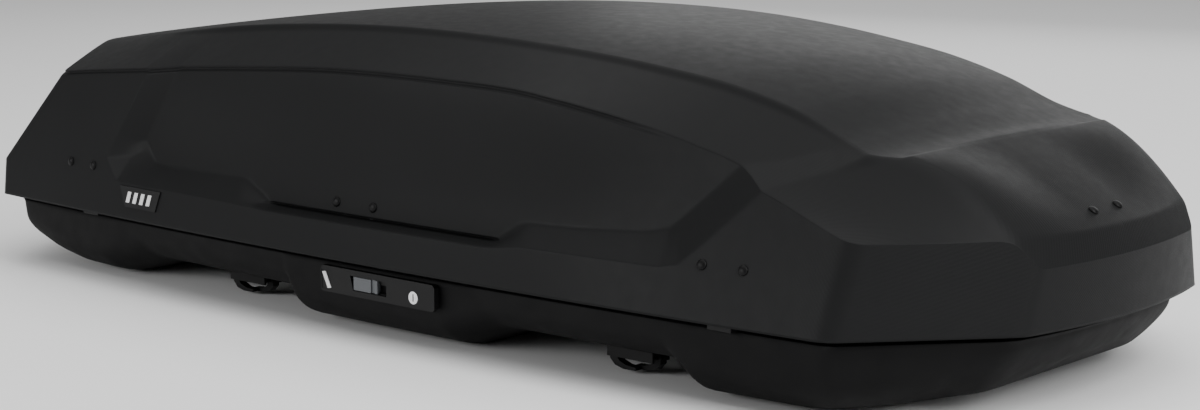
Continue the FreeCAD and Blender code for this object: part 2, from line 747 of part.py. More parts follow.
def lifter_arm(x0, x1, pivot_z, bore):
    """Arm from a pivot on the middle plane to the elbow."""
    elbow_y, elbow_z = elbow()
    along = Vector(0, elbow_y, elbow_z - pivot_z).normalize()
    across = Vector(0, -along.z, along.y)
    start = Vector(x0, 0, pivot_z)
    end = Vector(x0, elbow_y, elbow_z)
    outline = [start + across * 9, end + across * 7, end - across * 7, start - across * 9]
    arm = prism([tuple(p) for p in outline], (x1 - x0, 0, 0))
    eye = Part.makeCylinder(13, x1 - x0, start, Vector(1, 0, 0))
    tip = Part.makeCylinder(9, x1 - x0, end, Vector(1, 0, 0))
    hole = Part.makeCylinder(bore, 20, start - Vector(5, 0, 0), Vector(1, 0, 0))
    slot_start = start + along * 40
    slot_end = start + along * 170
    slot = prism([tuple(slot_start + across * 3), tuple(slot_end + across * 2),
                  tuple(slot_end - across * 2), tuple(slot_start - across * 3)], (x1 - x0, 0, 0))
    return cut(fuse([arm, eye, tip]), [hole, slot])


BUSH_R = 7.0
DISC_R = 13.0
DISC_X = (881.0, 883.2)


def pivot_bush(barrel_x, length, z):
    """Steel bush with a friction disc that lies between the two arms' planes."""
    barrel = cylinder(BUSH_R, length, (barrel_x, 0, z), (1, 0, 0))
    disc = cylinder(DISC_R, DISC_X[1] - DISC_X[0], (DISC_X[0], 0, z), (1, 0, 0))
    bore = cylinder(PIN_R + RUN_CLEARANCE, 40, (barrel_x - 10, 0, z), (1, 0, 0))
    return fuse([barrel, disc]).cut(bore)


def make_lid_bush():
    """Bush of the upper pivot, with a thrust collar on its inner end."""
    collar = cylinder(DISC_R, COLLAR_LENGTH, (COLLAR_X, 0, LIFTER_LID_Z), (1, 0, 0))
    bore = cylinder(PIN_R + RUN_CLEARANCE, 40, (COLLAR_X - 10, 0, LIFTER_LID_Z), (1, 0, 0))
    return fuse([pivot_bush(COLLAR_X + COLLAR_LENGTH, 6.5, LIFTER_LID_Z), collar.cut(bore)])


def make_lower_arm():
    elbow_y, elbow_z = elbow()
    arm = lifter_arm(884, 888, LIFTER_BASE_Z, BUSH_R + RUN_CLEARANCE)
    stub = cylinder(4.0, 3.4, (880.6, elbow_y, elbow_z), (1, 0, 0))
    return fuse([arm, stub])


def make_upper_arm():
    return lifter_arm(876, 880, LIFTER_LID_Z, BUSH_R + RUN_CLEARANCE)


def make_lifter_spring():
    """Torsion spring round the lower pivot, as close-wound turns."""
    turns = []
    for step in range(2):
        centre = Vector(890.2 + 3.1 * step, 0, LIFTER_BASE_Z)
        turns.append(Part.makeTorus(10.0, 1.4, centre, Vector(1, 0, 0)))
    return turns


# ---------------------------------------------------------------- crossbar clamps
JAW_PIVOT_X = 30.0
JAW_PIVOT_Z = 24.0


def clamp_housing(x, y):
    """Housing that hangs under the floor and slides along its slot."""
    cheeks = box(x - 38, x + 38, y - 17, y + 17, 20, CHANNEL_Z - FACE_GAP)
    cheeks = cheeks.cut(box(x - 40, x + 40, y - 13, y + 13, 10, 30))
    neck = box(x - 16, x + 16, y - 9.5, y + 9.5, 29, FLOOR_Z + 1)
    flange = box(x - 32, x + 32, y - 20, y + 20, FLOOR_Z + FACE_GAP, FLOOR_Z + 4)
    pins = [cylinder(3.0, 30, (x + step, y - 15, JAW_PIVOT_Z), (0, 1, 0))
            for step in (-JAW_PIVOT_X, JAW_PIVOT_X)]
    housing = fuse([cheeks, neck, flange] + pins)
    return housing.cut(cylinder(4.0 + RUN_CLEARANCE, 40, (x, y, 20), (0, 0, 1)))


def clamp_knob(x, y):
    """Torque knob inside the box, on the clamp's spindle."""
    base = FLOOR_Z + 4 + FACE_GAP
    disc = cylinder(27, 20, (x, y, base), (0, 0, 1))
    lobes = []
    for step in range(6):
        angle = math.radians(60 * step)
        spot = (x + 31 * math.cos(angle), y + 31 * math.sin(angle), base - 1)
        lobes.append(cylinder(8, 24, spot, (0, 0, 1)))
    cap = cylinder(17, 6, (x, y, base + 19), (0, 0, 1))
    spindle = cylinder(4.0, base - 27, (x, y, 27.5), (0, 0, 1))
    return fuse([cut(disc, lobes), cap, spindle])


def clamp_jaw(x, y, sign):
    """Curved jaw; the two jaws of a clamp overlap side by side at their tips."""
    y0, y1 = (0.3, 12.0) if sign > 0 else (-12.0, -0.3)
    outline = [(33, 29), (38, 24), (37, 16), (29, 8), (15, 4.5), (-6, 5), (-6, 9),
               (10, 10), (21, 14), (26, 20), (27, 29)]
    points = [(x + sign * px, y + y0, pz) for px, pz in outline]
    jaw = prism(points, (0, y1 - y0, 0))
    ring = cylinder(6.0, y1 - y0, (x + sign * JAW_PIVOT_X, y + y0, JAW_PIVOT_Z), (0, 1, 0))
    hole = cylinder(3.0 + RUN_CLEARANCE, 40, (x + sign * JAW_PIVOT_X, y - 20, JAW_PIVOT_Z), (0, 1, 0))
    return fuse([jaw, ring]).cut(hole)


# ---------------------------------------------------------------- write every node
def write_lid():
    save("lid_shell", make_lid_shell())
    save("side_rivets", make_side_rivets())
    save("end_rivets", make_end_rivets())
    for side, sign in SIDES:
        save(side + "_hinge_brackets", [flip_side(hinge_bracket(x), sign) for x in HINGE_X])
        save(side + "_hinge_pins", [flip_side(hinge_pin(x), sign) for x in HINGE_X])
        save(side + "_badge", flip_side(make_badge(), sign))
        save(side + "_badge_bars", [flip_side(bar, sign) for bar in make_badge_bars()])


def write_base():
    save("base_pan", make_base_pan())
    saddles = []
    screws = []
    for side, sign in SIDES:
        saddles += [flip_side(hinge_saddle(x), sign) for x in HINGE_X]
        for x_mid in HINGE_X:
            for step in (-SCREW_STEP, SCREW_STEP):
                screws.append(flip_side(saddle_screw(x_mid + step), sign))
        stiffener = floor_stiffener().translated(Vector(0, sign * 170, 0))
        save(side + "_floor_stiffener", stiffener)
        save(side + "_lock_housing", flip_side(make_lock_housing(), sign))
        save(side + "_lock_slider", flip_side(make_lock_slider(), sign))
        save(side + "_lock_marker", flip_side(make_lock_marker(), sign))
        save(side + "_key_cylinder", flip_side(make_key_cylinder(), sign))
        save(side + "_lock_rod", flip_side(make_lock_rod(), sign))
    save("hinge_saddles", saddles)
    save("saddle_screws", screws)


def write_lifters():
    for end, sign in ENDS:
        save(end + "_lifter_lid_bracket", make_lifter_lid_bracket(sign))
        save(end + "_lifter_base_bracket", flip_end(make_lifter_base_bracket(), sign))
        save(end + "_lifter_base_bush", flip_end(pivot_bush(882.5, 6.5, LIFTER_BASE_Z), sign))
        save(end + "_lifter_lid_bush", flip_end(make_lid_bush(), sign))
        save(end + "_lifter_lower_arm", flip_end(make_lower_arm(), sign))
        save(end + "_lifter_upper_arm", flip_end(make_upper_arm(), sign))
        save(end + "_lifter_spring", [flip_end(turn, sign) for turn in make_lifter_spring()])


def write_clamps():
    for name, x, y in clamp_places():
        save(name + "_clamp_housing", clamp_housing(x, y))
        save(name + "_clamp_knob", clamp_knob(x, y))
        save(name + "_clamp_front_jaw", clamp_jaw(x, y, 1))
        save(name + "_clamp_rear_jaw", clamp_jaw(x, y, -1))


write_lid()
write_base()
write_lifters()
write_clamps()
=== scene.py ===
"""Looks of the roof cargo box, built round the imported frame. Metres, row frame."""

import json
import math

import bmesh
import bpy
import numpy as np
from mathutils import Matrix, Vector
from mathutils.bvhtree import BVHTree


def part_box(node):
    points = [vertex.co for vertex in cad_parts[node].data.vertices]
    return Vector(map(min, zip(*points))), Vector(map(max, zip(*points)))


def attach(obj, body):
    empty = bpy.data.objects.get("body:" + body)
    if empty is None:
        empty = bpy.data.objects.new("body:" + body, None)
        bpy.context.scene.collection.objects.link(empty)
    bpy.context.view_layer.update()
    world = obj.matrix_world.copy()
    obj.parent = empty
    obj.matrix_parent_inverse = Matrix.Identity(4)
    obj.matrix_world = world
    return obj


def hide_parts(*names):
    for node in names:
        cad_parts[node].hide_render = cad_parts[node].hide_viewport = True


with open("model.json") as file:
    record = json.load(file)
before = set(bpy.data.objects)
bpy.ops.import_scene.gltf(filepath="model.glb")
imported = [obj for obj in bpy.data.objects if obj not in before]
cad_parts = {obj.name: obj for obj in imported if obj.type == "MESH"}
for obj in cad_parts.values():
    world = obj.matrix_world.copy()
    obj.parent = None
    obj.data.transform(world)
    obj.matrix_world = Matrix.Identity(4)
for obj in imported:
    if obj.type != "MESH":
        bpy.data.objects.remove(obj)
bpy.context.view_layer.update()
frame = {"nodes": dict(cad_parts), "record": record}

# ---------------------------------------------------------------- sizes from the frame
lid_low, lid_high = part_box("lid_shell")
HALF_LENGTH = lid_high.x
HALF_WIDTH = lid_high.y
SEAM_Z = lid_low.z
ROOF_Z = lid_high.z
SKIRT_TOP = SEAM_Z + 0.055
WALL = 0.0038

# plan of the lid skirt
PLAN_ROUNDING = 0.008
WIDEST_X = -0.042
SIDE_BOW = 0.0469
FRONT_CORNER_X = 0.770
FRONT_FACET_END = (0.924, 0.209)
REAR_CORNER_X = -0.827
REAR_FACET_END = (-0.925, 0.250)

# lean of the lid's walls, as run per rise, and the roundings where they meet
SIDE_LEAN = 0.15
QUARTER_LEAN = 0.21         # added along the front quarters
CORNER_LEAN = 0.03          # taken off again towards the front corners
FACET_LEAN = 0.160
END_LEAN = 0.02
REAR_LEAN = 0.83            # rear face, above the skirt
QUARTER_X = (0.30, 0.62)    # where the front quarters' lean grows
CORNER_X = (0.66, 0.77)
FACET_ROUNDING = 0.014
FRONT_ROUNDING = 0.004
REAR_ROUNDING = 0.010
REAR_SIDE_ROUNDING = 0.006

# hood: chamfer strip at the front end, lip where the crown starts
STRIP_LOW = 0.1855
STRIP_HIGH = 0.2165
STRIP_LEAN = 0.57           # run per rise of the strip
STRIP_START = 0.0015        # how far inside the front end it starts
STRIP_BACK = 0.018          # how far inside the front end the hood starts
LIP_X, LIP_Z = 0.771, 0.3085
FOLD_Y = 0.234
HOOD_SLOPES = (0.68, 1.15)  # steepness where the hood leaves the strip, middle and fold
HOOD_TURN_Y = (0.05, 0.21)  # where it turns from the one to the other
BEHIND_LIP_SLOPE = 0.3      # the hood's own surface, carried on behind the lip
FOLD_ROUNDING = 0.012
HOOD_BULGE = 0.011          # how far the fold bows above its straight chord
HOOD_CORNERS = ((0.777, 0.352, 0.220), (0.907, 0.205, STRIP_HIGH),
                (LIP_X, FOLD_Y, LIP_Z), (0.642, 0.341, 0.266))

# creases of the roof as (x, value)
CROWN_EDGE_Y = ((-0.95, 0.245), (-0.680, 0.260), (-0.512, 0.280), (-0.036, 0.280), (0.221, 0.275),
                (0.414, 0.257), (0.540, 0.246), (0.620, 0.242), (0.700, 0.246), (0.743, 0.258))
CROWN_EDGE_Z = ((-0.95, 0.315), (-0.680, 0.358), (-0.512, 0.380), (-0.262, 0.405),
                (-0.036, 0.4145), (0.221, 0.4085), (0.414, 0.3905), (0.540, 0.371),
                (0.620, 0.350), (0.700, 0.3190), (0.743, 0.3070), (0.771, 0.3045))
CROWN_RISE = ((-0.95, 0.006), (-0.5, 0.007), (-0.04, 0.0110), (0.3, 0.017), (0.6, 0.015),
              (0.72, 0.0105), (0.771, 0.005))
LOWER_EDGE_Z = ((-0.95, 0.2845), (-0.681, 0.313), (-0.472, 0.332), (-0.290, 0.3466),
                (-0.078, 0.3597), (0.113, 0.3614), (0.302, 0.3539), (0.447, 0.328),
                (0.533, 0.306), (0.591, 0.2896), (0.683, 0.266))
LOWER_EDGE_Y = ((-0.95, 0.354), (-0.681, 0.370), (-0.475, 0.378), (-0.410, 0.3675),
                (-0.290, 0.3695), (-0.078, 0.3703), (0.113, 0.369), (0.302, 0.3657),
                (0.350, 0.3621), (0.400, 0.3535), (0.447, 0.343),
                (0.533, 0.3266), (0.591, 0.3208), (0.683, 0.317))
CROWN_STEP = 0.0045         # drop from the crown to the shoulder band
CREASE_GROOVE = 0.0035      # shadow gap under the lower crease
REAR_ROOF = {"x": -0.487, "z": 0.3995, "slope": 0.165, "flat_y": 0.16, "drop": 1.2}
REAR_ROOF_ROUNDING = 0.006

# valley behind the hood's lip, and the notch at its outer end
FRONT_PART_X = 0.45         # the hood and the valley lie in front of this
LIP_STEP = 0.002            # drop behind the hood's lip
LIP_ROUNDING = 0.006
VALLEY_RISE = 1.1
NOTCH_CORNER = (0.591, 0.3208, 0.2896)      # where the lower edge ends, behind the hood
NOTCH_SLOPE = (-0.204, -0.659)
NOTCH_FLAT_Y = 0.2575       # inside this the notch rises no further
NOTCH_FROM = (0.5, 0.23)
CREASE_ROUNDING = 0.002

# recessed side panel: rim of its bevel, and edge of its floor, as (x, z)
BEVEL_RIM = ((-0.40, 0.44), (-0.467, 0.328), (-0.552, 0.195), (-0.520, 0.1625),
             (-0.411, 0.1625), (-0.205, 0.160), (0.262, 0.160), (0.310, 0.166),
             (0.520, 0.166), (0.548, 0.172), (0.570, 0.192), (0.642, 0.266), (0.760, 0.44))
PANEL_EDGE = ((-0.345, 0.44), (-0.413, 0.330), (-0.485, 0.224), (-0.458, 0.194),
              (-0.435, 0.191), (-0.242, 0.193), (-0.191, 0.1645), (0.253, 0.1645),
              (0.294, 0.191), (0.379, 0.193), (0.479, 0.199), (0.510, 0.206),
              (0.605, 0.300), (0.68, 0.44))
PANEL_DEPTH = 0.024
PANEL_LOSS = 0.011          # what the depth loses towards the top
PANEL_LOSS_Z = (0.20, 0.35)
GROOVE = {"x": (-0.200, 0.262), "z": (0.1592, 0.1662), "depth": 0.016}
GROOVE_END = 0.03
GROOVE_EDGE = 0.0012
GROOVE_MARGIN = 0.004       # fine rows of the mesh reach this far past the groove

# base pan
BASE_INSET = 0.027
BASE_WALL = 0.004
BASE_DRAFT = 0.002          # how far the side wall draws in down to the keel's rounding
GUTTER_Z = 0.099
LEDGE_DROP = 0.001          # the gutter ledge's outer edge lies this far under its top
RIM_Y = 0.352
RIM_RISE = 0.028            # top of the inner rim above the ledge's outer edge
RIM_SHEET = 0.0032
LEAST_GUTTER = 0.009
INNER_START = 0.0035        # the inner skin starts this far under the ledge
KEEL_RADIUS = 0.055
KEEL_SHARE = 0.80           # largest part of the wall's height that the rounding takes
UNDERSIDE_REACH = 0.100     # how far the underside curves in before it lies flat
UNDERSIDE_END_X = 0.86
KEEL_LINE = ((-0.93, 0.060), (-0.900, 0.046), (-0.850, 0.033), (-0.750, 0.008), (-0.690, 0.0),
             (-0.600, 0.0), (-0.487, 0.034), (-0.160, 0.034), (-0.140, 0.0), (0.150, 0.0),
             (0.236, 0.034), (0.515, 0.034), (0.558, 0.0), (0.690, 0.0), (0.780, 0.007),
             (0.850, 0.025), (0.895, 0.056), (0.93, 0.087))

# rivets
HEAD_RADIUS = 0.0068
HEAD_HEIGHT = 0.0032
HEAD_EDGE = 0.0006          # thickness of the head at its edge
HEAD_SINK = 0.0002          # how deep the head's underside sits in the lid
SHANK_RADIUS = 0.0025
SHANK_LENGTH = 0.009
RIVET_SIDES = 28
ONE_RIVET = 0.02            # pieces closer together than this belong to one rivet

# steps of the searches for a surface along a line
FINE_STEPS = 50
STEPS = 24


# ---------------------------------------------------------------- curves and fields
def curve(x, points):
    """Smooth curve through (x, value) points."""
    px = np.array([p[0] for p in points])
    pv = np.array([p[1] for p in points])
    slope = np.gradient(pv, px)
    x = np.clip(x, px[0], px[-1])
    i = np.clip(np.searchsorted(px, x) - 1, 0, len(px) - 2)
    h = px[i + 1] - px[i]
    t = (x - px[i]) / h
    a = pv[i] * (1 + 2 * t) * (1 - t) ** 2 + pv[i + 1] * t * t * (3 - 2 * t)
    return a + h * (slope[i] * t * (1 - t) ** 2 - slope[i + 1] * t * t * (1 - t))


def line(x, points):
    """Straight lines through (x, value) points."""
    return np.interp(x, [p[0] for p in points], [p[1] for p in points])


def ease(x, start, end):
    """0 before start, 1 after end, and a smooth step between."""
    t = np.clip((x - start) / (end - start), 0, 1)
    return t * t * (3 - 2 * t)


def soft_min(a, b, width):
    """The smaller of two values, rounded off where they cross."""
    h = np.clip(0.5 + 0.5 * (b - a) / width, 0, 1)
    return b * (1 - h) + a * h - width * h * (1 - h)


def soft_max(a, b, width):
    return -soft_min(-a, -b, width)


def outline_distance(x, z, corners):
    """Distance to a closed outline, positive inside."""
    best = np.full(x.shape, 1e9)
    inside = np.zeros(x.shape, bool)
    for (x0, z0), (x1, z1) in zip(corners, corners[1:] + corners[:1]):
        dx, dz = x1 - x0, z1 - z0
        t = np.clip(((x - x0) * dx + (z - z0) * dz) / (dx * dx + dz * dz), 0, 1)
        best = np.minimum(best, np.hypot(x - x0 - t * dx, z - z0 - t * dz))
        crosses = (z0 > z) != (z1 > z)
        if dz:
            inside ^= crosses & (x < x0 + dx * (z - z0) / dz)
    return np.where(inside, best, -best)


# ---------------------------------------------------------------- shape of the lid
def side_half_width(x):
    return HALF_WIDTH - SIDE_BOW * (x - WIDEST_X) ** 2


def facet(corner_x, end):
    """A corner facet in plan: a point on it, then its outward normal."""
    corner_y = float(side_half_width(corner_x))
    dx, dy = end[0] - corner_x, end[1] - corner_y
    length = math.hypot(dx, dy)
    sign = 1 if end[0] > 0 else -1
    return corner_x, corner_y, -dy / length * sign, dx / length * sign


FRONT_FACET = facet(FRONT_CORNER_X, FRONT_FACET_END)
REAR_FACET = facet(REAR_CORNER_X, REAR_FACET_END)


def beyond_facet(x, y, plane):
    return (x - plane[0]) * plane[2] + (y - plane[1]) * plane[3]


def beyond_front(x, y):
    """Distance in front of the front end's bowed outline."""
    sag = (HALF_LENGTH - FRONT_FACET_END[0]) / FRONT_FACET_END[1] ** 2
    return x - (HALF_LENGTH - sag * y * y)


def beyond_rear(x, y):
    sag = (HALF_LENGTH + REAR_FACET_END[0]) / REAR_FACET_END[1] ** 2
    return -x - (HALF_LENGTH - sag * y * y)


def plan_field(x, y, rounding):
    """Signed distance outside the skirt in plan."""
    field = y - side_half_width(x)
    field = soft_max(field, beyond_facet(x, y, FRONT_FACET), rounding)
    field = soft_max(field, beyond_facet(x, y, REAR_FACET), rounding)
    field = soft_max(field, beyond_front(x, y), rounding)
    return soft_max(field, beyond_rear(x, y), rounding)


def side_lean(x):
    """Inward lean of the sides, as run per rise."""
    return SIDE_LEAN + QUARTER_LEAN * ease(x, *QUARTER_X) - CORNER_LEAN * ease(x, *CORNER_X)


def panel_recess(x, z):
    """How far the recessed panel and the finger groove cut into the side."""
    into_rim = outline_distance(x, z, BEVEL_RIM)
    off_floor = -outline_distance(x, z, PANEL_EDGE)
    share = np.clip(into_rim, 0, None)
    share = share / (share + np.clip(off_floor, 0, None) + 1e-9)
    depth = PANEL_DEPTH - PANEL_LOSS * ease(z, *PANEL_LOSS_Z)
    depth = depth * share * (into_rim > 0)
    x0, x1 = GROOVE["x"]
    z0, z1 = GROOVE["z"]
    groove = ease(x, x0, x0 + GROOVE_END) * ease(-x, -x1, -x1 + GROOVE_END)
    groove = groove * ease(z, z0, z0 + GROOVE_EDGE) * ease(-z, -z1, -z1 + GROOVE_EDGE)
    return depth + GROOVE["depth"] * groove * (depth < PANEL_DEPTH * 1.2)


def wall_field(x, y, z, recess):
    """Signed distance outside the lid's walls."""
    up = z - SEAM_Z
    field = y - side_half_width(x) + side_lean(x) * up + recess
    front = beyond_facet(x, y, FRONT_FACET) + FACET_LEAN * up
    field = soft_max(field, front, FACET_ROUNDING)
    end = beyond_front(x, y) + END_LEAN * up
    field = soft_max(field, end, FRONT_ROUNDING)
    rear_rise = np.clip(z - SKIRT_TOP, 0, None) * REAR_LEAN
    rear = soft_max(beyond_facet(x, y, REAR_FACET), beyond_rear(x, y), REAR_ROUNDING)
    return soft_max(field, rear + END_LEAN * up + rear_rise, REAR_SIDE_ROUNDING)


def hood_side_height(x, y):
    """Facet ruled between the hood's four side corners, from its plan position."""
    a, b, c, d = (np.array(p) for p in HOOD_CORNERS)
    e, f, g = b - a, d - a, a - b + c - d
    hx, hy = x - a[0], y - a[1]
    k2 = g[0] * f[1] - g[1] * f[0]
    k1 = e[0] * f[1] - e[1] * f[0] + hx * g[1] - hy * g[0]
    k0 = hx * e[1] - hy * e[0]
    root = np.sqrt(np.maximum(k1 * k1 - 4 * k0 * k2, 0))
    v = np.clip(-2 * k0 / (k1 + np.sign(k1) * root), -0.3, 1.3)
    u = np.clip((hx - f[0] * v) / (e[0] + g[0] * v), -0.3, 1.5)
    bulge = HOOD_BULGE * 4 * np.clip(v, 0, 1) * (1 - np.clip(v, 0, 1)) * np.clip(u, 0, 1)
    return a[2] + u * e[2] + v * f[2] + u * v * g[2] + bulge


def hood_height(x, y):
    """Hood with its two folds, above the chamfer strip."""
    back = -beyond_front(x, np.minimum(y, FOLD_Y)) - STRIP_BACK
    full = -beyond_front(LIP_X, np.minimum(y, FOLD_Y)) - STRIP_BACK
    slope = HOOD_SLOPES[0] + (HOOD_SLOPES[1] - HOOD_SLOPES[0]) * ease(y, *HOOD_TURN_Y)
    bend = (slope * full - (LIP_Z - STRIP_HIGH)) / full ** 2
    near = np.minimum(back, full)
    middle = STRIP_HIGH + slope * near - bend * near * np.abs(near)
    middle = middle + BEHIND_LIP_SLOPE * (back - near)
    return soft_min(middle, hood_side_height(x, y), FOLD_ROUNDING)


def strip_height(x, y):
    return STRIP_LOW - (beyond_front(x, y) + STRIP_START) / STRIP_LEAN


def beyond_lip(x, y):
    """Plan distance in front of the hood's lip, negative over the crown."""
    dx, dy = HOOD_CORNERS[3][0] - LIP_X, HOOD_CORNERS[3][1] - FOLD_Y
    length = math.hypot(dx, dy)
    slanted = (x - LIP_X) * dy / length - (y - FOLD_Y) * dx / length
    return soft_max(x - LIP_X, slanted, LIP_ROUNDING)


def crown_height(x, y):
    """Raised crown, the shoulder band beside it and the rear roof."""
    edge = curve(x, CROWN_EDGE_Y)
    high = curve(x, CROWN_EDGE_Z)
    crown = high + curve(x, CROWN_RISE) * (1 - (y / edge) ** 2)
    step = CROWN_STEP * ease(x, -0.56, -0.47) * ease(-x, -0.72, -0.60)
    low, low_y = curve(x, LOWER_EDGE_Z), line(x, LOWER_EDGE_Y)
    band = low + (high - step - low) * (low_y - y) / (low_y - edge)
    over = ease(y, edge - 0.001, edge + 0.006)
    roof = crown * (1 - over) + soft_min(crown, band, 0.004) * over
    rear = REAR_ROOF["z"] + REAR_ROOF["slope"] * (x - REAR_ROOF["x"])
    rear = rear - REAR_ROOF["drop"] * np.clip(y - REAR_ROOF["flat_y"], 0, None) ** 2
    return soft_min(roof, rear, REAR_ROOF_ROUNDING)


def roof_height(x, y):
    """Top of the lid: crown and shoulders, valley and notch, hood and chamfer strip."""
    y = np.abs(y)
    ahead = beyond_lip(x, y)
    crown = crown_height(x, y)
    frontal = x > FRONT_PART_X
    hood = np.where(frontal, hood_height(x, y), crown)
    notch = NOTCH_CORNER[2] + NOTCH_SLOPE[0] * (x - NOTCH_CORNER[0])
    notch = notch + NOTCH_SLOPE[1] * (np.maximum(y, NOTCH_FLAT_Y) - NOTCH_CORNER[1])
    notch = np.where((x > NOTCH_FROM[0]) & (y > NOTCH_FROM[1]), notch, -1.0)
    valley = hood - LIP_STEP + VALLEY_RISE * np.clip(-ahead, 0, None)
    crown = np.where(frontal, soft_min(crown, valley, CREASE_ROUNDING), crown)
    crown = np.maximum(crown, notch)
    roof = crown + (hood - crown) * ease(ahead, -0.003, 0.001)
    return np.where(frontal, soft_min(roof, strip_height(x, y), CREASE_ROUNDING), roof)


# ---------------------------------------------------------------- mesh helpers
INNER_STEP = 3      # the inner skin keeps every third row and column

# where the form turns along the box, as (x, half length)
LID_TURNS = ((-0.84, 0.03), (-0.48, 0.09), (0.65, 0.17))
BASE_TURNS = ((-0.47, 0.03), (-0.185, 0.05), (0.115, 0.05), (0.55, 0.04))


def column_spacing(x, turns, fine, coarse, change):
    """Spacing of a mesh's columns: fine at the turns, coarse away from them."""
    away = np.min([np.abs(x - at) - half for at, half in turns], axis=0)
    return fine + (coarse - fine) * ease(away, 0.0, change)


def search(low, high, steps, is_below):
    """Halves the range from low to high until it closes on where is_below ends."""
    for _ in range(steps):
        mid = (low + high) / 2
        below = is_below(mid)
        low, high = np.where(below, mid, low), np.where(below, high, mid)
    return low


def perimeter(spacing):
    """Left half of the skirt's plan from the rear tip to the front tip, with normals."""
    fine = np.linspace(0, math.pi, 6001)
    dx, dy = -np.cos(fine), np.sin(fine) * 0.45
    far = search(np.zeros(fine.size), np.full(fine.size, 1.6), FINE_STEPS,
                 lambda far: plan_field(dx * far, dy * far, PLAN_ROUNDING) <= 0)
    x, y = dx * far, dy * far
    y[0] = y[-1] = 0.0
    run = np.concatenate([[0], np.cumsum(np.hypot(np.diff(x), np.diff(y)))])
    weight = 1 / spacing((x[1:] + x[:-1]) / 2)
    turns = np.concatenate([[0], np.cumsum(np.diff(run) * weight)])
    count = int(round(turns[-1] / INNER_STEP)) * INNER_STEP
    wanted = np.interp(np.linspace(0, turns[-1], count + 1), turns, run)
    x, y = np.interp(wanted, run, x), np.interp(wanted, run, y)
    tx, ty = np.gradient(x), np.gradient(y)
    length = np.hypot(tx, ty)
    nx, ny = -ty / length, tx / length
    nx[0], ny[0], nx[-1], ny[-1] = -1.0, 0.0, 1.0, 0.0
    flip = np.where(nx * x + ny * y < 0, -1, 1)
    return x, y, nx * flip, ny * flip


def spread(stops):
    """Values from (value, count) stops, evenly spaced between neighbours."""
    values = [np.array([stops[0][0]])]
    for (a, _), (b, count) in zip(stops, stops[1:]):
        values.append(np.linspace(a, b, count + 1)[1:])
    return np.concatenate(values)


def relax(grid, times, keep_rows=()):
    """Rounds creases a little by averaging each point with its neighbours."""
    for _ in range(times):
        padded = np.concatenate([grid[:, :1], grid, grid[:, -1:]], axis=1)
        padded[:, 0] = grid[:, 1] * (1, -1, 1)
        padded[:, -1] = grid[:, -2] * (1, -1, 1)
        around = (padded[:, :-2] + padded[:, 2:]) / 2
        along = grid.copy()
        along[1:-1] = (grid[:-2] + grid[2:]) / 2
        new = 0.5 * grid + 0.25 * around + 0.25 * along
        for row in keep_rows:
            new[row] = grid[row]
        grid = new
    grid[:, 0, 1] = 0.0
    grid[:, -1, 1] = 0.0
    return grid


def outward(grid, crown_up):
    """Unit normals of a grid whose last row lies at the top or the bottom."""
    n = np.cross(np.gradient(grid, axis=0), np.gradient(grid, axis=1))
    length = np.linalg.norm(n, axis=2, keepdims=True)
    n = n / np.maximum(length, 1e-12) * np.sign(np.median(n[-3, :, 2])) * crown_up
    n[:, 0, 1] = n[:, -1, 1] = 0.0
    return n


def mesh_object(name, points, faces, smooth=True):
    mesh = bpy.data.meshes.new(name)
    mesh.from_pydata([tuple(p) for p in points], [], faces)
    mesh.validate()
    mesh.update()
    obj = bpy.data.objects.new(name, mesh)
    bpy.context.scene.collection.objects.link(obj)
    if smooth:
        mesh.polygons.foreach_set("use_smooth", [True] * len(mesh.polygons))
    return obj


def grid_faces(rows, columns, start=0, flip=False):
    """Quads between neighbouring points of a grid stored row by row."""
    i = np.arange(rows - 1)[:, None] * columns + np.arange(columns - 1)[None, :] + start
    quads = np.stack([i, i + 1, i + columns + 1, i + columns], axis=-1).reshape(-1, 4)
    return quads[:, ::-1].tolist() if flip else quads.tolist()


def mirrored_object(name, points, faces):
    """Left half and its mirror image, joined along the middle plane."""
    obj = mesh_object(name, points, faces)
    bm = bmesh.new()
    bm.from_mesh(obj.data)
    half = bm.verts[:] + bm.edges[:] + bm.faces[:]
    copy = bmesh.ops.duplicate(bm, geom=half)["geom"]
    copied_verts = [g for g in copy if isinstance(g, bmesh.types.BMVert)]
    copied_faces = [g for g in copy if isinstance(g, bmesh.types.BMFace)]
    for vert in copied_verts:
        vert.co.y = -vert.co.y
    bmesh.ops.reverse_faces(bm, faces=copied_faces)
    middle = [v for v in bm.verts if abs(v.co.y) < 1e-7]
    bmesh.ops.remove_doubles(bm, verts=middle, dist=1e-6)
    bmesh.ops.dissolve_degenerate(bm, edges=bm.edges[:], dist=1e-7)
    bmesh.ops.recalc_face_normals(bm, faces=bm.faces[:])
    for face in bm.faces:
        face.smooth = True
    bm.to_mesh(obj.data)
    bm.free()
    return obj


# ---------------------------------------------------------------- lid mesh
TIP_GAP = 0.012

# how the wall's columns drift with height, as (x, (run in x, run in y) per rise), so that
# they follow the wall's corners
DRIFTS = ((-HALF_LENGTH, (REAR_LEAN, 0.0)), (REAR_FACET_END[0], (0.81, -0.343)),
          (REAR_CORNER_X, (1.02, -0.075)), (-0.45, (0.0, -0.15)), (0.30, (0.0, -0.15)),
          (0.62, (0.02, -0.34)), (FRONT_CORNER_X, (0.078, -0.336)),
          (FRONT_FACET_END[0], (0.058, -0.3125)), (HALF_LENGTH, (-0.02, 0.0)))


def lid_spacing(x):
    return column_spacing(x, LID_TURNS, 0.0026, 0.0060, 0.05)


def drift_along(x, y):
    """Drift of each column per unit of height."""
    run = np.concatenate([[0], np.cumsum(np.hypot(np.diff(x), np.diff(y)))])
    keys = [float(np.interp(at, x, run)) for at, _ in DRIFTS]
    return [np.interp(run, keys, [drift[i] for _, drift in DRIFTS]) for i in (0, 1)]


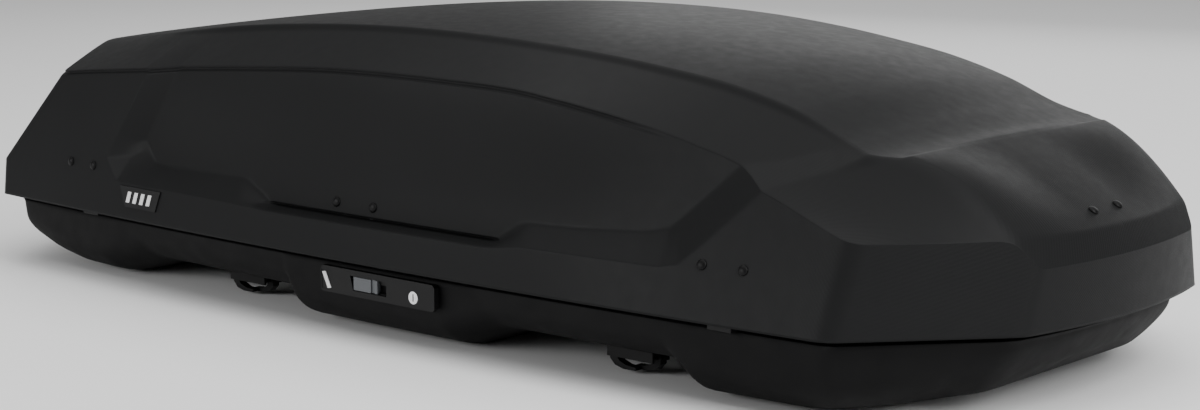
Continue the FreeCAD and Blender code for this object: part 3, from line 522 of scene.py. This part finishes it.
def wall_points(x, y, nx, ny, drift, z):
    """Where each column's path meets the wall at height z."""
    rise = np.where(x < -0.4, np.clip(z - SKIRT_TOP, 0, None), z - SEAM_Z)
    px, py = x + drift[0] * rise, y + drift[1] * rise

    def outside(inset):
        qx, qy = px - nx * inset, py - ny * inset
        return wall_field(qx, qy, z, panel_recess(qx, z)) > 0

    inset = search(np.full(px.shape, -0.03), np.full(px.shape, 0.08), STEPS, outside)
    return px - nx * inset, np.clip(py - ny * inset, 0, None)


def eave_height(x, y, nx, ny, drift):
    """Height at which each column's wall meets the roof."""
    return search(np.full(x.size, SEAM_Z + 0.03), np.full(x.size, ROOF_Z), STEPS + 2,
                  lambda z: roof_height(*wall_points(x, y, nx, ny, drift, z)) > z)


def wall_heights(eave):
    """Heights of the wall's rows: skirt, fine rows across the groove, then up to the eave."""
    groove_low, groove_high = GROOVE["z"][0] - GROOVE_MARGIN, GROOVE["z"][1] + GROOVE_MARGIN
    share = spread([(0, 0), (0.86, 12), (1, 3)])
    lower = SEAM_Z + share[:, None] * (groove_low - SEAM_Z) + 0 * eave
    band = np.linspace(groove_low, groove_high, 17)[1:, None] + 0 * eave
    share = spread([(0, 0), (0.25, 15), (0.85, 26), (0.955, 5), (1, 9)])
    upper = band[-1] + share[1:, None] * (eave - band[-1])
    return np.concatenate([lower, band, upper])


def crease_groove(x, below):
    """Depth of the shadow gap, from the distance below the lower crease."""
    depth = CREASE_GROOVE * ease(below, 0.0, 0.0010) * ease(-below, -0.0060, -0.0046)
    return depth * ease(x, -0.83, -0.70) * ease(-x, -0.50, -0.40)


def lid_grid():
    x, y, nx, ny = perimeter(lid_spacing)
    drift = drift_along(x, y)
    eave = eave_height(x, y, nx, ny, drift)
    z = wall_heights(eave)
    wx, wy = wall_points(x, y, nx, ny, drift, z)
    cut_in = crease_groove(wx, eave - z)
    walls = np.stack([wx - nx * cut_in, wy - ny * cut_in, z], axis=2)
    edge = walls[-1]
    inward = spread([(0, 0), (0.05, 8), (0.34, 46), (1, 46)])[1:, None]
    rx = edge[:, 0] + (middle_stations(x, y, edge) - edge[:, 0]) * inward
    ry = edge[:, 1] * (1 - inward)
    roof = np.stack([rx, ry, roof_height(rx, ry)], axis=2)
    return np.concatenate([walls, roof])


def middle_stations(x, y, edge):
    """Where each roof line ends on the middle plane, just inside the tips."""
    run = np.concatenate([[0], np.cumsum(np.hypot(np.diff(x), np.diff(y)))])
    rear = float(np.interp(REAR_CORNER_X, x, run))
    front = float(np.interp(FRONT_CORNER_X, x, run))
    rear_x = float(np.interp(rear, run, edge[:, 0]))
    front_x = float(np.interp(front, run, edge[:, 0]))
    tip_low, tip_high = edge[0, 0] + TIP_GAP, edge[-1, 0] - TIP_GAP
    ends = np.interp(run, (0, rear, front, run[-1]), (tip_low, rear_x, front_x, tip_high))
    return np.where((run > rear) & (run < front), edge[:, 0], ends)


def shell_from_grid(name, outer, depth, step=INNER_STEP):
    """Closed shell: the outer skin, a coarser inner skin, and the rim between them."""
    rows, columns = outer.shape[:2]
    coarse_rows = np.unique(np.append(np.arange(0, rows, step), rows - 1))
    coarse_columns = np.arange(0, columns, step)
    n = outward(outer, 1)
    inner = outer - n * depth
    inner = inner[coarse_rows][:, coarse_columns]
    inner[0] = outer[0, coarse_columns] - n[2, coarse_columns] * depth
    inner[0, :, 2] = outer[0, coarse_columns, 2]
    inner[:, 0, 1] = inner[:, -1, 1] = 0.0
    inner[..., 1] = np.maximum(inner[..., 1], 0.0)
    inner[-1, :, 1] = 0.0
    points = np.concatenate([outer.reshape(-1, 3), inner.reshape(-1, 3)])
    start = rows * columns
    faces = grid_faces(rows, columns)
    faces += grid_faces(inner.shape[0], inner.shape[1], start, flip=True)
    for i in range(len(coarse_columns) - 1):
        a = coarse_columns[i]
        b = coarse_columns[i + 1]
        faces.append([start + i, start + i + 1] + list(range(b, a - 1, -1)))
    return mirrored_object(name, points, faces)


def make_lid():
    grid = lid_grid()
    grid = relax(grid, 2, keep_rows=(0,))
    lid = shell_from_grid("lid", grid, WALL)
    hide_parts("lid_shell")
    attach(lid, "lid")
    return lid


# ---------------------------------------------------------------- base mesh
def base_spacing(x):
    return column_spacing(x, BASE_TURNS, 0.0045, 0.0080, 0.04)


def smoothed(values, reach, mirror):
    """Running mean along the perimeter, mirrored past the middle plane at both ends."""
    wide = np.concatenate([values[reach:0:-1] * mirror, values, values[-2:-reach - 2:-1] * mirror])
    total = np.cumsum(np.concatenate([[0], wide]))
    return (total[2 * reach + 1:] - total[:-2 * reach - 1]) / (2 * reach + 1)


def inset_points(x, y, nx, ny, inset):
    """Points at a plan distance inside the skirt, on lines that don't cross."""
    sx, sy = smoothed(nx, 14, 1), smoothed(ny, 14, -1)
    length = np.hypot(sx, sy)
    sx, sy = sx / length, sy / length
    go = search(np.zeros(inset.shape), np.full(inset.shape, 0.30), STEPS,
                lambda go: plan_field(x - sx * go, y - sy * go, PLAN_ROUNDING) >= -inset)
    return x - sx * go, np.clip(y - sy * go, 0, None)


def keel_height(x):
    return line(x, KEEL_LINE)


def base_wall(x, y, nx, ny, keel):
    """Rows down the side wall and round the turn into the underside."""
    radius = np.minimum(KEEL_RADIUS, (GUTTER_Z - keel) * KEEL_SHARE)
    reach = UNDERSIDE_REACH * radius / KEEL_RADIUS
    steps = np.linspace(0, 1, 7)[:, None]
    side_z = GUTTER_Z - LEDGE_DROP + steps * (keel + radius - GUTTER_Z + LEDGE_DROP)
    side_in = BASE_DRAFT * steps + 0 * side_z
    turn = np.linspace(0, math.pi / 2, 15)[1:, None]
    round_in = BASE_DRAFT + reach * (1 - np.cos(turn))
    round_z = keel + radius * (1 - np.sin(turn))
    inset = np.concatenate([side_in, round_in])
    z_edge = np.concatenate([side_z, round_z])
    ex, ey = inset_points(x, y, nx, ny, inset + BASE_INSET)
    share = np.clip((GUTTER_Z - z_edge) / (GUTTER_Z - keel), 0, 1)
    return np.stack([ex, ey, z_edge + (keel_height(ex) - keel) * share], axis=2)


def base_floor(edge):
    """Rows from the underside's edge to the middle plane."""
    inward = spread([(0, 0), (0.2, 8), (1, 30)])[1:, None]
    middle_x = np.sign(edge[:, 0]) * np.minimum(np.abs(edge[:, 0]), UNDERSIDE_END_X)
    fx = edge[:, 0] + (middle_x - edge[:, 0]) * inward
    fy = edge[:, 1] * (1 - inward)
    return np.stack([fx, fy, keel_height(fx)], axis=2)


def base_gutter(x, nx, ny, wall_x, wall_y):
    """Rows along the gutter ledge, up the inner rim, over it and down again."""
    rim_in = np.maximum(wall_y - RIM_Y, LEAST_GUTTER)
    rows = []
    for share, rise, deeper in ((0.06, 0.001, 0), (0.97, 0.001, 0), (1.0, 0.003, 0),
                                (1.0, RIM_RISE - 0.002, 0), (1.0, RIM_RISE, 0.0008),
                                (1.0, RIM_RISE, 0.0024), (1.0, RIM_RISE - 0.002, RIM_SHEET),
                                (1.0, -0.0015, RIM_SHEET)):
        go = rim_in * share + deeper
        rows.append(np.stack([wall_x - nx * go, np.clip(wall_y - ny * go, 0, None),
                              GUTTER_Z - LEDGE_DROP + rise + 0 * x], axis=1))
    return np.stack(rows)


def make_base():
    x, y, nx, ny = perimeter(base_spacing)
    wall_x, wall_y = x - nx * BASE_INSET, np.clip(y - ny * BASE_INSET, 0, None)
    skin = base_wall(x, y, nx, ny, keel_height(wall_x))
    outer = relax(np.concatenate([skin, base_floor(skin[-1])]), 1, keep_rows=(0,))
    outer[..., 2] = np.maximum(outer[..., 2], 0.0)
    inner = outer - outward(outer, -1) * BASE_WALL
    inner[0] = outer[0] - np.stack([nx, ny, 0 * nx], axis=1) * BASE_WALL
    inner[0, :, 2] = GUTTER_Z - INNER_START
    inner[..., 1] = np.clip(inner[..., 1], 0, None)
    inner[-1, :, 1] = 0
    gutter = base_gutter(x, nx, ny, wall_x, wall_y)
    whole = np.concatenate([outer[::-1], gutter, inner])
    base = mirrored_object("base", whole.reshape(-1, 3), grid_faces(*whole.shape[:2]))
    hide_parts("base_pan")
    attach(base, "base")
    return base


# ---------------------------------------------------------------- rivets
def island_middles(obj):
    """Middle of each separate piece of an object's mesh, in the order of its vertices."""
    bm = bmesh.new()
    bm.from_mesh(obj.data)
    bmesh.ops.remove_doubles(bm, verts=bm.verts, dist=1e-6)
    seen, middles = set(), []
    for start in bm.verts:
        if start in seen:
            continue
        seen.add(start)
        front, island = [start], [start]
        while front:
            for edge in front.pop().link_edges:
                for vert in edge.verts:
                    if vert not in seen:
                        seen.add(vert)
                        front.append(vert)
                        island.append(vert)
        places = np.array([obj.matrix_world @ v.co for v in island])
        middles.append((places.min(axis=0) + places.max(axis=0)) / 2)
    bm.free()
    return middles


def dome_rivet(place, normal):
    """Points and faces of a domed head on the surface, and its shank behind it."""
    turn = Vector(normal).to_track_quat("Z", "Y").to_matrix()
    profile = [(HEAD_RADIUS * math.cos(a), HEAD_HEIGHT * math.sin(a) + HEAD_EDGE)
               for a in np.linspace(0, math.pi / 2, 9)[:-1]]
    profile = [(SHANK_RADIUS, -SHANK_LENGTH), (SHANK_RADIUS, -HEAD_SINK),
               (HEAD_RADIUS, -HEAD_SINK)] + profile
    points = []
    for radius, height in profile:
        for a in np.linspace(0, 2 * math.pi, RIVET_SIDES, endpoint=False):
            points.append(place + turn @ Vector((radius * math.cos(a), radius * math.sin(a),
                                                 height)))
    faces = [tuple(range(RIVET_SIDES - 1, -1, -1))]
    for ring in range(len(profile) - 1):
        for i in range(RIVET_SIDES):
            j = (i + 1) % RIVET_SIDES
            a, b = ring * RIVET_SIDES, (ring + 1) * RIVET_SIDES
            faces.append((a + i, a + j, b + j, b + i))
    top = len(points)
    points.append(place + turn @ Vector((0, 0, HEAD_HEIGHT + HEAD_EDGE)))
    last = (len(profile) - 1) * RIVET_SIDES
    for i in range(RIVET_SIDES):
        faces.append((last + i, last + (i + 1) % RIVET_SIDES, top))
    return points, faces


def make_rivets(lid, node, along):
    """Domed rivets on the lid's surface, one for each piece of the node."""
    tree = BVHTree.FromPolygons([v.co for v in lid.data.vertices],
                                [p.vertices for p in lid.data.polygons])
    points, faces = [], []
    placed = []
    for middle in island_middles(frame["nodes"][node]):
        if any(np.linalg.norm(middle - other) < ONE_RIVET for other in placed):
            continue
        placed.append(middle)
        out = Vector([0, 0, 0])
        out[along] = math.copysign(1, middle[along])
        hit, normal, _, _ = tree.ray_cast(Vector(middle) + out * 0.3, -out)
        if normal.dot(out) < 0:
            normal = -normal
        head, head_faces = dome_rivet(hit, normal)
        faces += [tuple(i + len(points) for i in face) for face in head_faces]
        points += head
    rivets = mesh_object(node + "_domes", points, faces)
    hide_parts(node)
    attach(rivets, "lid")
    paint(rivets, "rivet_black")


# ---------------------------------------------------------------- materials
def material(name, color, roughness, metallic=0.0):
    """A new material, with its node tree and its shader."""
    mat = bpy.data.materials.new(name)
    mat.use_nodes = True
    shader = mat.node_tree.nodes["Principled BSDF"]
    shader.inputs["Base Color"].default_value = (*color, 1)
    shader.inputs["Roughness"].default_value = roughness
    shader.inputs["Metallic"].default_value = metallic
    return mat, mat.node_tree, shader


def noise(tree, scale, detail=3.0, rough=0.5):
    where = tree.nodes.new("ShaderNodeTexCoord")
    tex = tree.nodes.new("ShaderNodeTexNoise")
    tex.inputs["Scale"].default_value = scale
    tex.inputs["Detail"].default_value = detail
    tex.inputs["Roughness"].default_value = rough
    tree.links.new(where.outputs["Object"], tex.inputs["Vector"])
    return tex.outputs["Fac"]


def ramp(tree, value, low, high, start=0.3, end=0.7):
    """Maps a 0-1 value to a range."""
    node = tree.nodes.new("ShaderNodeMapRange")
    node.inputs["From Min"].default_value = start
    node.inputs["From Max"].default_value = end
    node.inputs["To Min"].default_value = low
    node.inputs["To Max"].default_value = high
    tree.links.new(value, node.inputs["Value"])
    return node.outputs["Result"]


def tint(tree, value, dark, pale):
    node = tree.nodes.new("ShaderNodeValToRGB")
    node.color_ramp.elements[0].position = 0.3
    node.color_ramp.elements[1].position = 0.7
    node.color_ramp.elements[0].color = (*dark, 1)
    node.color_ramp.elements[1].color = (*pale, 1)
    tree.links.new(value, node.inputs["Fac"])
    return node.outputs["Color"]


def bump(tree, height, distance, strength=1.0, under=None):
    node = tree.nodes.new("ShaderNodeBump")
    node.inputs["Distance"].default_value = distance
    node.inputs["Strength"].default_value = strength
    tree.links.new(height, node.inputs["Height"])
    if under:
        tree.links.new(under, node.inputs["Normal"])
    return node.outputs["Normal"]


def grained_plastic(name, color, roughness, grain=900.0, depth=0.00012, vary=0.15,
                    gloss=0.5):
    """Moulded plastic: fine grain in the surface, slow drift in tone and gloss."""
    mat, tree, shader = material(name, color, roughness)
    shader.inputs["Specular IOR Level"].default_value = gloss
    drift = noise(tree, 6.0, 4.0)
    dark = tuple(c * (1 - vary) for c in color)
    pale = tuple(c * (1 + vary) for c in color)
    tree.links.new(tint(tree, drift, dark, pale), shader.inputs["Base Color"])
    tree.links.new(ramp(tree, noise(tree, 40.0, 5.0), roughness - 0.04, roughness + 0.05),
                   shader.inputs["Roughness"])
    tree.links.new(bump(tree, noise(tree, grain, 2.0), depth), shader.inputs["Normal"])
    return mat


def lid_plastic():
    """Satin sheet plastic with fine grain, and fine slanted lines towards the front."""
    mat, tree, shader = material("lid_plastic_look", (0.0105, 0.0107, 0.011), 0.40)
    new, link = tree.nodes.new, tree.links.new
    drift = noise(tree, 3.0, 3.0)
    link(tint(tree, drift, (0.0098, 0.0100, 0.0103), (0.0112, 0.0114, 0.0117)),
         shader.inputs["Base Color"])
    link(ramp(tree, noise(tree, 60.0, 4.0), 0.37, 0.43), shader.inputs["Roughness"])
    shader.inputs["Specular IOR Level"].default_value = 0.06
    where = new("ShaderNodeTexCoord")
    turned = new("ShaderNodeMapping")
    turned.inputs["Rotation"].default_value = (0.0, math.radians(50), math.radians(38))
    link(where.outputs["Object"], turned.inputs["Vector"])
    lines = new("ShaderNodeTexWave")
    lines.wave_type = "BANDS"
    lines.bands_direction = "X"
    lines.inputs["Scale"].default_value = 130.0
    lines.inputs["Distortion"].default_value = 0.0
    link(turned.outputs["Vector"], lines.inputs["Vector"])
    split = new("ShaderNodeSeparateXYZ")
    link(where.outputs["Object"], split.inputs["Vector"])
    fade = ramp(tree, split.outputs["X"], 0.0, 1.0, 0.52, 0.80)
    mixed = new("ShaderNodeMath")
    mixed.operation = "MULTIPLY"
    link(lines.outputs["Fac"], mixed.inputs[0])
    link(fade, mixed.inputs[1])
    grain = bump(tree, noise(tree, 1100.0, 2.0), 0.00010)
    link(bump(tree, mixed.outputs["Value"], 0.00006, 1.0, grain), shader.inputs["Normal"])
    return mat


def brushed_metal(name, color, roughness):
    """Plated steel with fine drawn lines along X and faint mottling."""
    mat, tree, shader = material(name, color, roughness, 1.0)
    new, link = tree.nodes.new, tree.links.new
    where = new("ShaderNodeTexCoord")
    stretch = new("ShaderNodeMapping")
    stretch.inputs["Scale"].default_value = (20.0, 1500.0, 1500.0)
    link(where.outputs["Object"], stretch.inputs["Vector"])
    tex = new("ShaderNodeTexNoise")
    tex.inputs["Scale"].default_value = 1.0
    link(stretch.outputs["Vector"], tex.inputs["Vector"])
    link(ramp(tree, tex.outputs["Fac"], roughness - 0.08, roughness + 0.10),
         shader.inputs["Roughness"])
    dark = tuple(c * 0.85 for c in color)
    link(tint(tree, noise(tree, 90.0, 4.0), dark, color), shader.inputs["Base Color"])
    link(bump(tree, tex.outputs["Fac"], 0.00004), shader.inputs["Normal"])
    return mat


LOOKS = {
    "lid_plastic": lid_plastic(),
    # base colour darker than the lid's: partly the base's own plastic, partly painted shade for the
    # shadow under the lid's overhang
    "base_plastic": grained_plastic("base_plastic_and_painted_shade_look", (0.0045, 0.0045, 0.0047), 0.60, gloss=0.10),
    "black_plastic": grained_plastic("black_plastic_look", (0.0055, 0.0055, 0.0057), 0.48, gloss=0.18),
    "grey_plastic": grained_plastic("grey_plastic_look", (0.070, 0.075, 0.082), 0.38),
    "pale_mark": grained_plastic("pale_mark_look", (0.72, 0.72, 0.72), 0.45, vary=0.04),
    "lock_metal": brushed_metal("lock_metal_look", (0.80, 0.80, 0.81), 0.24),
    "steel": brushed_metal("steel_look", (0.52, 0.52, 0.54), 0.36),
    "rivet_black": grained_plastic("rivet_look", (0.004, 0.004, 0.0042), 0.36, depth=0.00004, gloss=0.12),
    "aluminium": brushed_metal("aluminium_look", (0.72, 0.72, 0.74), 0.38),
    "knob_plastic": grained_plastic("knob_look", (0.05, 0.05, 0.055), 0.50),
    "spring_steel": brushed_metal("spring_look", (0.34, 0.34, 0.36), 0.34),
}


def paint(obj, slot_name):
    obj.data.materials.clear()
    obj.data.materials.append(LOOKS[slot_name])


def dress_cad_nodes():
    """Every CAD piece that still shows gets its look and softened edges."""
    slots = {row["node"]: row["material_slot"] for row in frame["record"]["subparts"]}
    for name, obj in frame["nodes"].items():
        paint(obj, slots[name])
        if obj.hide_render:
            continue
        edge = obj.modifiers.new("soft_edges", "BEVEL")
        edge.width = 0.0006
        edge.segments = 2
        edge.limit_method = "ANGLE"
        edge.angle_limit = math.radians(40)
        edge.harden_normals = False


# ---------------------------------------------------------------- stage, light, camera
def make_stage():
    bpy.ops.mesh.primitive_plane_add(size=40, location=(0, 0, -0.0005))
    floor = bpy.context.object
    floor.name = "floor"
    mat, _, shader = material("floor_look", (0.92, 0.92, 0.92), 0.6)
    shader.inputs["Specular IOR Level"].default_value = 0.2
    floor.data.materials.append(mat)


def area_light(name, place, target, size, power):
    data = bpy.data.lights.new(name, "AREA")
    data.shape = "RECTANGLE"
    data.size, data.size_y = size
    data.energy = power
    lamp = bpy.data.objects.new(name, data)
    bpy.context.scene.collection.objects.link(lamp)
    lamp.location = place
    lamp.rotation_euler = (Vector(target) - Vector(place)).to_track_quat("-Z", "Y").to_euler()


def make_lights():
    world = bpy.data.worlds.new("studio")
    world.use_nodes = True
    world.node_tree.nodes["Background"].inputs["Color"].default_value = (1, 1, 1, 1)
    world.node_tree.nodes["Background"].inputs["Strength"].default_value = 0.30
    bpy.context.scene.world = world
    area_light("top_box", (0.9, 0.0, 5.5), (0.9, 0.0, 0), (10.0, 8.0), 400)
    area_light("front_box", (3.6, -0.5, 2.2), (0.7, 0, 0.2), (1.6, 3.0), 120)
    area_light("side_box", (-1.6, -4.0, 1.3), (-0.3, 0, 0.2), (3.5, 1.2), 80)
    area_light("back_box", (-0.8, 4.2, 1.7), (0, 0, 0.3), (5.0, 1.4), 30)


CAMERA_PLACE = (2.3060, -2.5162, 0.7064)
CAMERA_YAW = math.radians(131.41)
CAMERA_PITCH = math.radians(-9.51)
CAMERA_ROLL = math.radians(-0.115)
SENSOR_WIDTH = 36.0
LENS = 70.4


def make_camera():
    data = bpy.data.cameras.new("camera")
    data.sensor_width = SENSOR_WIDTH
    data.lens = LENS
    camera = bpy.data.objects.new("camera", data)
    bpy.context.scene.collection.objects.link(camera)
    ahead = Vector((math.cos(CAMERA_YAW) * math.cos(CAMERA_PITCH),
                    math.sin(CAMERA_YAW) * math.cos(CAMERA_PITCH), math.sin(CAMERA_PITCH)))
    turn = ahead.to_track_quat("-Z", "Y").to_matrix().to_4x4()
    roll = Matrix.Rotation(-CAMERA_ROLL, 4, "Z")
    camera.matrix_world = Matrix.Translation(CAMERA_PLACE) @ turn @ roll
    bpy.context.scene.camera = camera


# ---------------------------------------------------------------- build
make_camera()
lid_skin = make_lid()
paint(lid_skin, "lid_plastic")
make_rivets(lid_skin, "side_rivets", 1)
make_rivets(lid_skin, "end_rivets", 0)
paint(make_base(), "base_plastic")
dress_cad_nodes()
make_stage()
make_lights()
